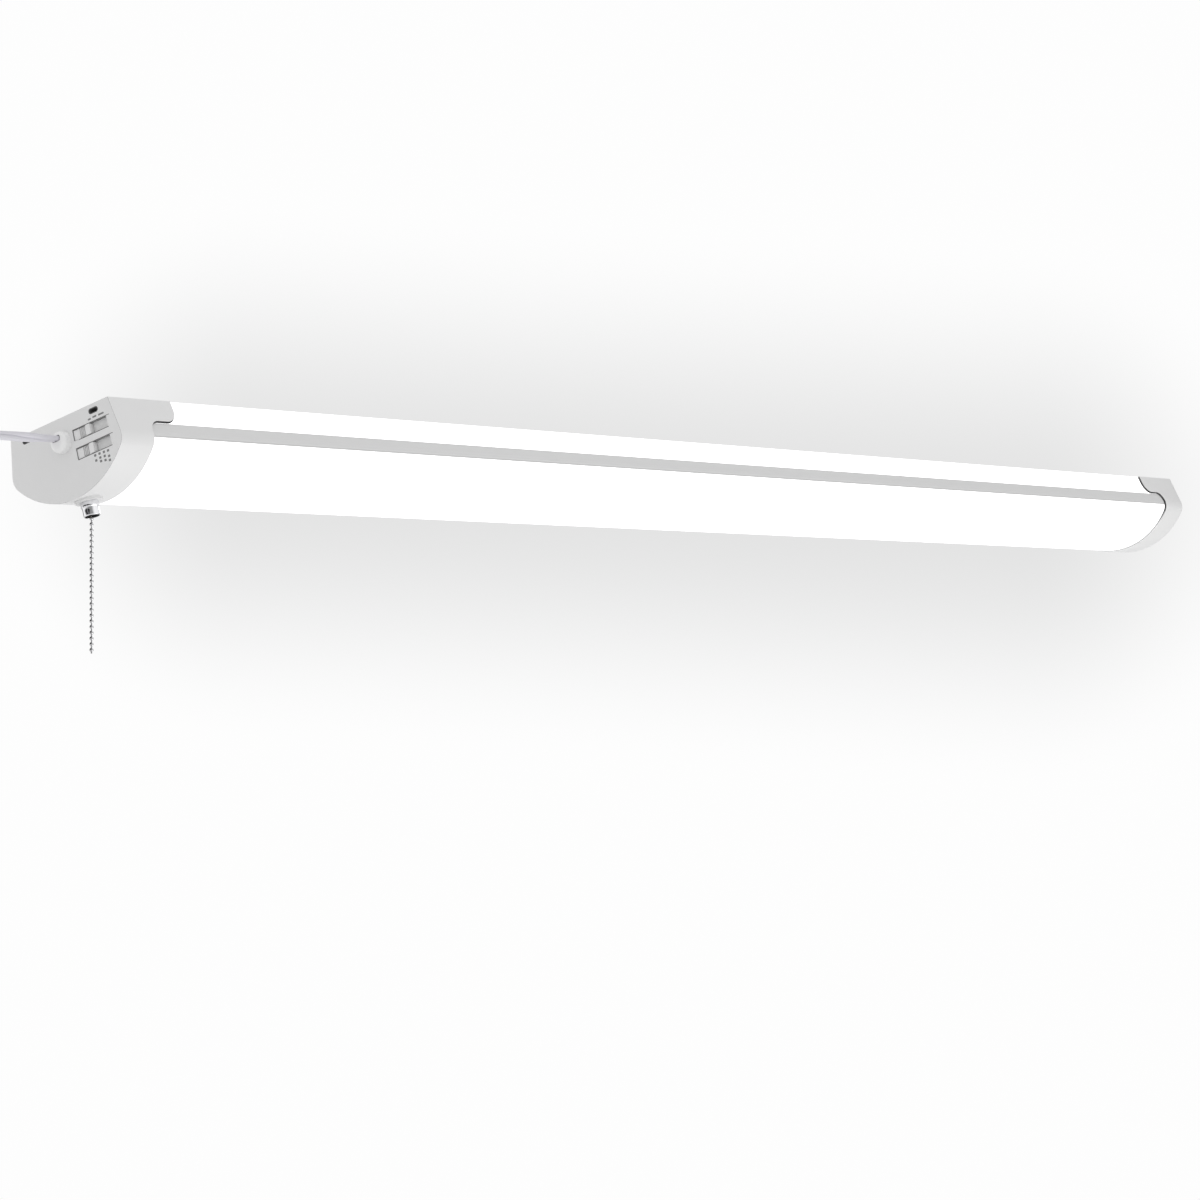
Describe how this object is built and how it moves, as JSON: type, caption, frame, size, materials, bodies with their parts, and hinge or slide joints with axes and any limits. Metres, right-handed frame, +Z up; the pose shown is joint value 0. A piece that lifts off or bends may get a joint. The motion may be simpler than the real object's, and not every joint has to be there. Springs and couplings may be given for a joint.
{
  "type": "hanging shop light",
  "caption": "Linear LED shop light with a wrap diffuser, side uplight strips, two slide switches, a pull-chain switch and a plug-in cord.",
  "frame": {"origin": "on the flat top plate, midway between the two hanging holes", "axes": "+X along the light away from the switch end, +Y across it to the back, +Z up"},
  "size_m": [1.4332, 0.0894, 0.2376],
  "materials": {
    "white_metal": "satin powder coat",
    "diffuser": "frosted translucent",
    "cap_plastic": "fine moulded grain",
    "knob_plastic": "satin",
    "black_plastic": "matt",
    "brown_plastic": "moulded phenolic",
    "gland_plastic": "polished nylon",
    "steel": "zinc plated",
    "brass": "drawn",
    "chrome": "polished",
    "circuit_board": "solder mask",
    "white_board": "white solder mask",
    "led": "phosphor",
    "wire": "pvc insulation",
    "cord": "soft pvc"
  },
  "bodies": {
    "fixture": {"spine": "white_metal", "top_plate": "white_metal", "lower_diffuser": "diffuser", "front_side_lens": "diffuser", "back_side_lens": "diffuser", "switch_end_cap": "cap_plastic", "plain_end_cap": "cap_plastic", "hook_sockets": "black_plastic", "cap_screws": "steel", "plate_screws": "steel", "power_switch": "steel", "colour_switch": "steel", "switch_board": "circuit_board", "switch_board_screws": "steel", "cord_gland": "gland_plastic", "gland_nut": "gland_plastic", "pull_switch_body": "brown_plastic", "switch_neck": "brass", "neck_washer": "steel", "pull_nozzle": "chrome", "front_near_board": "white_board", "front_far_board": "white_board", "back_near_board": "white_board", "back_far_board": "white_board", "lower_leds": "led", "front_side_board": "white_board", "back_side_board": "white_board", "side_leds": "led", "board_jumpers": "gland_plastic", "driver_case": "steel", "driver_cover": "steel", "driver_board": "circuit_board", "driver_parts": "black_plastic", "driver_screws": "steel", "terminal_block": "gland_plastic", "mains_wires": "wire", "led_wires": "wire", "mains_cord": "cord", "cord_coil": "cord", "cord_tail": "cord", "cord_tie": "black_plastic", "plug_body": "cord", "plug_blades": "brass"},
    "power_slider": {"power_knob": "knob_plastic"},
    "colour_slider": {"colour_knob": "knob_plastic"},
    "plunger": {"pull_plunger": "brass"},
    "first_link": {"chain_link": "chrome"},
    "upper_chain": {"chain_upper": "chrome"},
    "lower_chain": {"chain_lower": "chrome"}
  },
  "joints": [
    {"name": "power_slide", "type": "slide", "parent": "fixture", "child": "power_slider", "axis": [0, -1, 0], "range_m": [0, 0.0104]},
    {"name": "colour_slide", "type": "slide", "parent": "fixture", "child": "colour_slider", "axis": [0, -1, 0], "range_m": [0, 0.0104]},
    {"name": "pull_slide", "type": "slide", "parent": "fixture", "child": "plunger", "axis": [0, 0, -1], "range_m": [0, 0.005], "stiffness_N_per_m": 1500, "springref_m": -0.002},
    {"name": "chain_swing_across", "type": "hinge", "parent": "plunger", "child": "first_link", "pos_m": [-0.5985, 0, -0.0555], "axis": [1, 0, 0], "range_deg": [-38, 22]},
    {"name": "chain_swing_along", "type": "hinge", "parent": "first_link", "child": "upper_chain", "pos_m": [-0.59897, 0.00045, -0.05874], "axis": [0, 1, 0], "range_deg": [-53, 37]},
    {"name": "chain_bend", "type": "hinge", "parent": "upper_chain", "child": "lower_chain", "pos_m": [-0.60363, 0.00493, -0.0911], "axis": [1, 0, 0], "range_deg": [-60, 60]}
  ]
}
